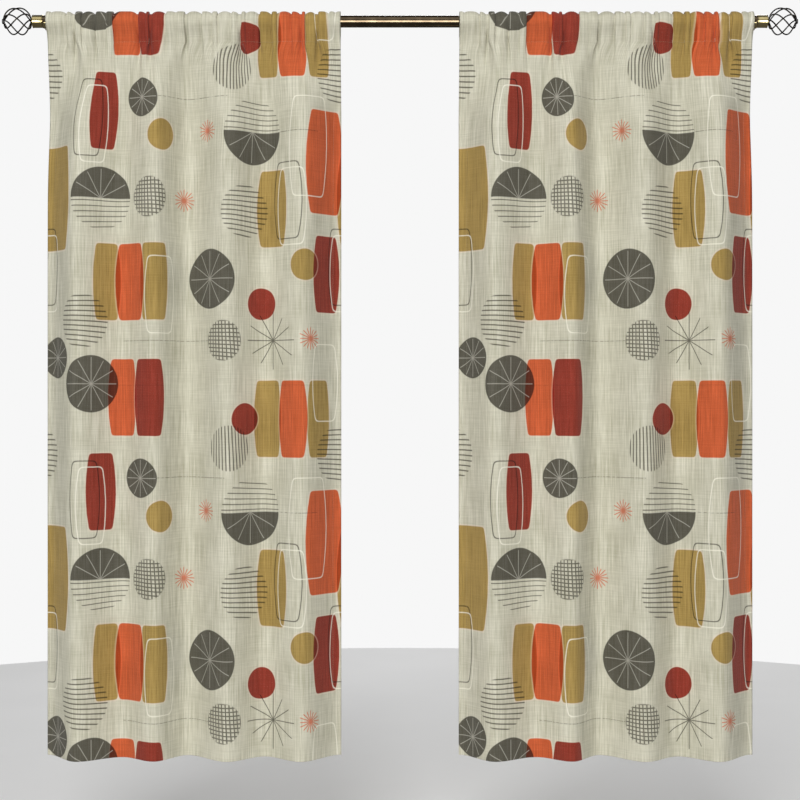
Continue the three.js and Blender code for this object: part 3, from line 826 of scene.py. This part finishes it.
def thread():
    """Pale beige sewing thread, twisted."""
    m = Shading("sewing_thread")
    twist = m.math("SINE", m.times(m.split(m.position())[2], 9000.0))
    m.bump(twist, 0.0001, 0.4)
    colour = m.mix(m.noise(m.position(), 150.0), linear(150, 142, 118), linear(172, 165, 142))
    return m.surface(base_color=colour, roughness=m.ramp(twist, -1.0, 1.0, 0.6, 0.8), sheen_weight=0.1)


# ---- The two panels
def make_panel(side):
    """One gathered panel of a single sheet, with its hems and rod pocket, that stands for its CAD solids."""
    points, flat, outwards, lengths, drop, length = panel_points(side)
    rows, columns = points.shape[:2]
    shift = PRINT_SHIFT[side]
    face = cloth_material(f"{side}_printed_linen", shift)
    back = cloth_material(f"{side}_printed_linen_back", shift, reverse=True)
    piece = new_object(f"{side}_panel", points.reshape(-1, 3), grid_faces(rows, columns), [face, back])
    layer = piece.data.uv_layers.new(name="print")
    corners = np.empty(len(piece.data.loops), np.int32)
    piece.data.loops.foreach_get("vertex_index", corners)
    layer.data.foreach_set("uv", flat.reshape(-1, 2)[corners].astype(np.float32).ravel())
    thicken = piece.modifiers.new("thickness", "SOLIDIFY")
    thicken.thickness, thicken.offset, thicken.material_offset = CLOTH_THICKNESS, 0.0, 1
    apply_modifiers(piece)
    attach(piece, f"{side}_panel")
    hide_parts(*(f"{side}_panel_{part}" for part in
                         ("rod_pocket", "cloth", "left_side_hem", "right_side_hem", "bottom_hem")))
    seam_row = np.abs(lengths - drop).argmin()
    hem_row = np.abs(lengths - (HEM_TURN - SIDE_SEAM_INSET)).argmin()
    sewing = make_stitching(side, points, flat[0, :, 0], outwards, seam_row, hem_row)


# ---- Fine metal surfaces
def finish_nodes():
    """Gives every hard CAD node the material of its slot, and returns those materials."""
    materials = {"bronze_steel": bronze(), "antique_brass": brass(), "black_wire": black_wire(),
                 "zinc_steel": zinc(), "nylon": nylon()}
    for row in frame["record"]["subparts"]:
        material = materials.get(row["material_slot"])
        if material:
            for mesh_slot in frame["nodes"][row["node"]].material_slots:
                mesh_slot.material = material
    return materials


def fitted(piece, body, slot_name, *nodes):
    """Gives a fine metal piece its material and body, and lets it stand for its CAD nodes."""
    piece.data.materials.append(METALS[slot_name])
    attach(piece, body)
    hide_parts(*nodes)


def make_tube(node, body, slot_name, rivet_x=None):
    """A rod tube with softly rounded ends, and the rivet's hole where it has one."""
    low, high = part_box(node)
    radius = (high.z - low.z) / 2
    bore_radius = radius - TUBE_WALL
    corners = [(low.x, radius), (high.x, radius), (high.x, bore_radius), (low.x, bore_radius)]
    piece = lathe(f"{node}_fine", rounded(corners, TUBE_ROUND), segments=128)
    if rivet_x is not None:
        bore(piece, (rivet_x, ROD_Y + radius, ROD_Z), (0, 1, 0), RIVET_HOLE_RADIUS, 2 * radius)
    fitted(piece, body, slot_name, node)


def make_rod():
    """The two outer tubes, the inner tube and the rivet that joins it to the left one."""
    rivet_low, rivet_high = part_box("rod_join_rivet")
    rivet_x = (rivet_low.x + rivet_high.x) / 2
    make_tube("rod_left_tube", "rod", "bronze_steel", rivet_x)
    make_tube("rod_right_tube", "right_tube", "bronze_steel")
    make_tube("rod_inner_tube", "rod", "zinc_steel", rivet_x)
    head = (rivet_high.z - rivet_low.z) / 2
    length = rivet_high.y - rivet_low.y
    profile = [(0, 0), (0, head), (length - 0.0002, head), (length, head - 0.0003), (length + 0.0001, 0)]
    rivet = lathe("rod_join_rivet_fine", profile, (rivet_x, rivet_low.y, ROD_Z), (0, 1, 0), 48)
    fitted(rivet, "rod", "zinc_steel", "rod_join_rivet")


def wire_path(centre, circle, phase, outwards):
    """The middle line of one wire of the cage, from the hub to the tip over a ball, with half a turn. Its
    ends lie on the circle's radius."""
    start = math.asin(circle / CAGE_RADIUS)
    points = []
    for k in range(WIRE_STEPS + 1):
        polar = start + (math.pi - 2 * start) * k / WIRE_STEPS
        turn = phase - (polar - math.pi / 2)
        reach = CAGE_RADIUS * math.sin(polar)
        points.append((centre - outwards * CAGE_RADIUS * math.cos(polar), ROD_Y - reach * math.cos(turn),
                       ROD_Z + reach * math.sin(turn)))
    return points


def make_neck(side, outwards):
    """The finial's brass neck: a cap with a bead at each end."""
    low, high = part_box(f"{side}_finial_neck")
    inner, outer = (low.x, high.x) if outwards > 0 else (high.x, low.x)
    radius = (high.z - low.z) / 2
    bead, waist = outwards * NECK_BEAD_WIDTH, radius - NECK_BEAD
    end_wall = outer - outwards * NECK_END_WALL
    profile = rounded([
        (inner, NECK_BORE), (inner, radius), (inner + bead, radius), (inner + 1.5 * bead, waist),
        (outer - 1.5 * bead, waist), (outer - bead, radius), (outer, radius), (outer, STUD_HOLE),
        (end_wall, STUD_HOLE), (end_wall, NECK_BORE),
    ], 0.0004)
    neck = lathe(f"{side}_finial_neck_fine", profile, segments=128)
    fitted(neck, f"{side}_finial", "antique_brass", f"{side}_finial_neck")


def make_finial(side):
    """The neck, and the cage of twisted wires between two small discs."""
    outwards = 1 if side == "right" else -1
    make_neck(side, outwards)
    for disc in ("hub", "tip_disc"):
        low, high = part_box(f"{side}_finial_{disc}")
        rim, middle, half = (high.z - low.z) / 2, (high.x + low.x) / 2, (high.x - low.x) / 2
        dome = [(middle + half * math.sin(a), rim - half * (1 - math.cos(a)) * 0.9)
                for a in np.linspace(-math.pi / 2, math.pi / 2, 13)]
        profile = [(middle - half, 0)] + dome + [(middle + half, 0)]
        piece = lathe(f"{side}_finial_{disc}_fine", profile, segments=64)
        fitted(piece, f"{side}_finial", "black_wire", f"{side}_finial_{disc}")
    low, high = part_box(f"{side}_finial_wire_1")
    circle = (WIRE_RADIUS + WIRE_END_GAP / 2) / math.sin(math.pi / WIRE_COUNT)
    for k in range(WIRE_COUNT):
        path = wire_path((low.x + high.x) / 2, circle, WIRE_PHASE + 2 * math.pi * k / WIRE_COUNT, outwards)
        node = f"{side}_finial_wire_{k + 1}"
        fitted(sweep(f"{node}_fine", path, WIRE_RADIUS), f"{side}_finial", "black_wire", node)


def arc(centre_y, centre_z, radius, start, end, steps):
    """Points (y, z) on an arc; the angles are in degrees from +Y, upwards."""
    angles = np.radians(np.linspace(start, end, steps + 1))
    return [(centre_y + radius * math.cos(a), centre_z + radius * math.sin(a)) for a in angles]


def make_cradle(side):
    """The open cradle that the rod lies in, and the fluted thumb screw that comes up through it."""
    low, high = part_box(f"{side}_rod_cradle")
    outside = ROD_Z - low.z
    inside = outside - CRADLE_WALL
    outline = [(ROD_Y + inside, high.z)] + arc(ROD_Y, ROD_Z, inside, 0, CRADLE_END, 60)
    outline += arc(ROD_Y, ROD_Z, outside, CRADLE_END, 0, 60) + [(ROD_Y + outside, high.z)]
    cradle = extrusion(f"{side}_rod_cradle_fine", outline, low.x, high.x)
    slope = Vector((0, math.sqrt(0.5), -math.sqrt(0.5)))
    axis_point = Vector(((low.x + high.x) / 2, ROD_Y, ROD_Z))
    bore(cradle, axis_point + slope * outside, slope, SCREW_RADIUS + JOINT_GAP, 2 * CRADLE_WALL)
    fitted(cradle, "brackets", "antique_brass", f"{side}_rod_cradle")

    foot = ROD_RADIUS + JOINT_GAP
    seat = foot + CRADLE_WALL + JOINT_GAP
    screw_low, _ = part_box(f"{side}_cradle_screw")
    head_end = (ROD_Z - screw_low.z) / math.sqrt(0.5) - THUMB_RADIUS
    profile = [(foot, 0), (foot, SCREW_RADIUS), (seat, SCREW_RADIUS), (seat, THUMB_RADIUS - 0.0006),
               (seat + 0.0005, THUMB_RADIUS, 0.0), (seat + 0.0007, THUMB_RADIUS, KNURL_DEPTH),
               (head_end - 0.0008, THUMB_RADIUS, KNURL_DEPTH), (head_end - 0.0005, THUMB_RADIUS, 0.0),
               (head_end, THUMB_RADIUS - 0.0007), (head_end, 0)]
    screw = lathe(f"{side}_cradle_screw_fine", profile, axis_point, slope, 120, 40, KNURL_FLUTES)
    fitted(screw, f"{side}_thumb_screw", "antique_brass", f"{side}_cradle_screw")


def make_arm(side):
    """The round arm from the cradle to the wall, with a collar where it meets the cover."""
    low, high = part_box(f"{side}_bracket_arm")
    radius = (high.z - low.z) / 2
    collar = radius + COLLAR_RISE
    profile = [(low.y, 0), (low.y, radius - ARM_EDGE), (low.y + ARM_EDGE, radius),
               (high.y - 2 * COLLAR_WIDTH, radius), (high.y - 1.5 * COLLAR_WIDTH, radius + 0.4 * COLLAR_RISE),
               (high.y - COLLAR_WIDTH, collar), (high.y, collar), (high.y, ARM_HOLE),
               (high.y - ARM_HOLE_DEPTH, ARM_HOLE), (high.y - ARM_HOLE_DEPTH, 0)]
    arm = lathe(f"{side}_bracket_arm_fine", profile, ((low.x + high.x) / 2, 0, ROD_Z), (0, 1, 0), 64)
    fitted(arm, "brackets", "antique_brass", f"{side}_bracket_arm")


def make_cover(side):
    """The cover: a dished shell with a rounded front edge and a sunk front, open towards the wall."""
    low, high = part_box(f"{side}_bracket_cover")
    centre_x, centre_z = (low.x + high.x) / 2, (low.z + high.z) / 2
    half_x, half_z = (high.x - low.x) / 2, (high.z - low.z) / 2

    def ring(inset, y, steps=10):
        """A rounded rectangle of points, as far in from the cover's outline as the inset."""
        corner = max(COVER_CORNER - inset, 0.001)
        points = []
        for k, (sx, sz) in enumerate(((1, 1), (-1, 1), (-1, -1), (1, -1))):
            cx = centre_x + sx * (half_x - inset - corner)
            cz = centre_z + sz * (half_z - inset - corner)
            for a in np.radians(np.linspace(90 * k, 90 * k + 90, steps)):
                points.append((cx + corner * math.cos(a), y, cz + corner * math.sin(a)))
        return points

    sunk = low.y + PANEL_DEPTH
    rings = [ring(0.008, sunk), ring(PANEL_INSET + PANEL_SLOPE, sunk), ring(PANEL_INSET, low.y)]
    for a in np.radians(np.linspace(90, 0, 7)):
        rings.append(ring(COVER_ROUND * (1 - math.cos(a)), low.y + COVER_ROUND * (1 - math.sin(a))))
    rings += [ring(0.0, high.y), ring(COVER_WALL, high.y),
              ring(COVER_WALL, low.y + COVER_WALL + COVER_ROUND / 2),
              ring(COVER_WALL + COVER_ROUND / 2, sunk + COVER_WALL)]
    vertices = [point for one in rings for point in one]
    cover = new_object(f"{side}_bracket_cover_fine", vertices, ring_faces(len(rings), len(rings[0])))
    facing_out(cover)
    bore(cover, (centre_x, low.y, centre_z), (0, 1, 0), ARM_HOLE, 4 * COVER_WALL)
    screw_low, screw_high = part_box(f"{side}_cover_lock_screw")
    bore(cover, (centre_x, (screw_low.y + screw_high.y) / 2, low.z), (0, 0, 1), LOCK_HOLE, 4 * COVER_WALL)
    fitted(cover, "brackets", "antique_brass", f"{side}_bracket_cover")


# ---- Sewing
def grid_normals(points, outwards):
    """The face's own direction at each point of the sheet, on the side that shows from the room."""
    down = np.gradient(points, axis=0)
    across = np.gradient(points, axis=1)
    normals = np.cross(across, down)
    normals /= np.linalg.norm(normals, axis=2, keepdims=True) + 1e-12
    return np.where((normals * outwards).sum(axis=2, keepdims=True) < 0, -normals, normals)


def stitches(path, normals):
    """One straight run of lockstitch along a path on the cloth: short threads that dip in at both ends."""
    steps = np.linalg.norm(np.diff(path, axis=0), axis=1)
    length = np.concatenate([[0.0], np.cumsum(steps)])

    def at(s):
        place = [np.interp(s, length, path[:, k]) for k in range(3)]
        lift = [np.interp(s, length, normals[:, k]) for k in range(3)]
        return Vector(place), Vector(lift).normalized()

    vertices, faces = [], []
    for k in range(int(length[-1] / STITCH_PITCH)):
        start = (k + 0.1) * STITCH_PITCH
        first = len(vertices)
        faces += [tuple(first + v for v in face) for face in ring_faces(len(STITCH_RINGS), THREAD_SIDES)]
        for share, lift, thickness in STITCH_RINGS:
            place, normal = at(start + share * STITCH_LENGTH)
            ahead = (at(start + share * STITCH_LENGTH + 0.001)[0] - place).normalized()
            aside = ahead.cross(normal).normalized()
            centre = place + normal * (THREAD_RADIUS * lift)
            for corner in range(THREAD_SIDES):
                angle = 2 * math.pi * corner / THREAD_SIDES
                around = aside * math.cos(angle) + normal * math.sin(angle)
                vertices.append(centre + around * THREAD_RADIUS * thickness)
    return vertices, faces


def make_stitching(side, points, columns, outwards, seam_row, hem_row):
    """The pocket's seam, the bottom hem's and the side hems' stitching, on the front and on the back."""
    normals = grid_normals(points, outwards)
    on_face = np.nonzero((columns >= 0) & (columns <= FLAT_WIDTH))[0]
    runs = [(points[row, on_face], normals[row, on_face]) for row in (seam_row, hem_row)]
    between = slice(hem_row, seam_row + 1)
    for place in (SIDE_TURN - SIDE_SEAM_INSET, FLAT_WIDTH - SIDE_TURN + SIDE_SEAM_INSET):
        column = on_face[np.abs(columns[on_face] - place).argmin()]
        runs.append((points[between, column], normals[between, column]))
    vertices, faces = [], []
    for path, lift in runs:
        for off, way in ((CLOTH_THICKNESS / 2, 1), (-LAYER_GAP - CLOTH_THICKNESS / 2, -1)):
            more, more_faces = stitches(path + lift * off, lift * way)
            first = len(vertices)
            vertices += more
            faces += [tuple(first + v for v in face) for face in more_faces]
    piece = new_object(f"{side}_panel_stitching", vertices, faces, [thread()])
    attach(piece, f"{side}_panel")
    return piece


# ---- Scene
def area_light(name, place, aim_z, size, power, diffuse=True, gloss=True):
    """A soft box that faces the rod's plane at a height, and lights matt surfaces, shiny ones or both."""
    data = bpy.data.lights.new(name, "AREA")
    data.shape, data.size, data.size_y = "RECTANGLE", size[0], size[1]
    data.energy = power
    lamp = linked(name, data)
    lamp.location = place
    lamp.visible_diffuse, lamp.visible_glossy = diffuse, gloss
    lamp.rotation_euler = (Vector((0.0, ROD_Y, aim_z)) - Vector(place)).to_track_quat("-Z", "Y").to_euler()


def make_floor():
    """A plain pale round floor that the metal doesn't mirror."""
    angles = np.linspace(0.0, 2 * math.pi, FLOOR_SIDES, endpoint=False)
    rim = [(FLOOR_RADIUS * math.cos(a), FLOOR_RADIUS * math.sin(a), 0.0) for a in angles]
    floor = new_object("floor", rim, [range(FLOOR_SIDES)])
    floor.location = (0.0, ROD_Y, CAD_BOUNDS[0].z - FLOOR_DROP)
    floor.visible_glossy = False
    m = Shading("pale_floor")
    grain = m.noise(m.position(), 3.0, 3.0)
    colour = m.mix(grain, linear(238, 238, 238), linear(243, 243, 243))
    floor.data.materials.append(m.surface(base_color=colour, roughness=m.ramp(grain, 0.3, 0.7, 0.75, 0.85)))


def make_world():
    """A dim white world, which looks brighter where the camera sees it directly."""
    world = bpy.data.worlds.new("studio")
    world.use_nodes = True
    nodes, links = world.node_tree.nodes, world.node_tree.links
    seen = nodes.new("ShaderNodeMath")
    seen.operation = "MULTIPLY_ADD"
    links.new(nodes.new("ShaderNodeLightPath").outputs["Is Camera Ray"], seen.inputs[0])
    seen.inputs[1].default_value = BACKGROUND - WORLD_STRENGTH
    seen.inputs[2].default_value = WORLD_STRENGTH
    nodes["Background"].inputs["Color"].default_value = (1.0, 1.0, 1.0, 1.0)
    links.new(seen.outputs[0], nodes["Background"].inputs["Strength"])
    bpy.context.scene.world = world
    bpy.context.scene.view_settings.view_transform = "Standard"


def make_camera():
    """Level and straight in front of the middle."""
    data = bpy.data.cameras.new("camera")
    camera = linked("camera", data)
    camera.location = (0.0, ROD_Y - CAMERA_DISTANCE, VIEW_CENTRE_Z)
    camera.rotation_euler = (math.pi / 2, 0.0, 0.0)
    data.sensor_width = SENSOR_MM
    data.lens = SENSOR_MM * CAMERA_DISTANCE / VIEW_WIDTH
    bpy.context.scene.camera = camera


make_camera()
make_floor()
make_world()
area_light("key", (-1.6, -8.0, 2.5), -0.8, (4.5, 1.6), 475, gloss=False)
area_light("fill", (0.0, -5.5, -0.9), -1.0, (3.2, 1.4), 64, gloss=False)
area_light("streak", (0.0, -7.0, -1.08), 0.0, (6.0, 3.4), 620, diffuse=False)
area_light("overhead", (0.0, -1.97, 2.13), 0.0, (4.0, 2.8), 30)
area_light("back", (0.6, 4.0, 1.6), -0.8, (3.0, 1.6), 105)
METALS = finish_nodes()
make_rod()
for side in SIDES:
    make_finial(side)
    make_cradle(side)
    make_arm(side)
    make_cover(side)
    make_panel(side)
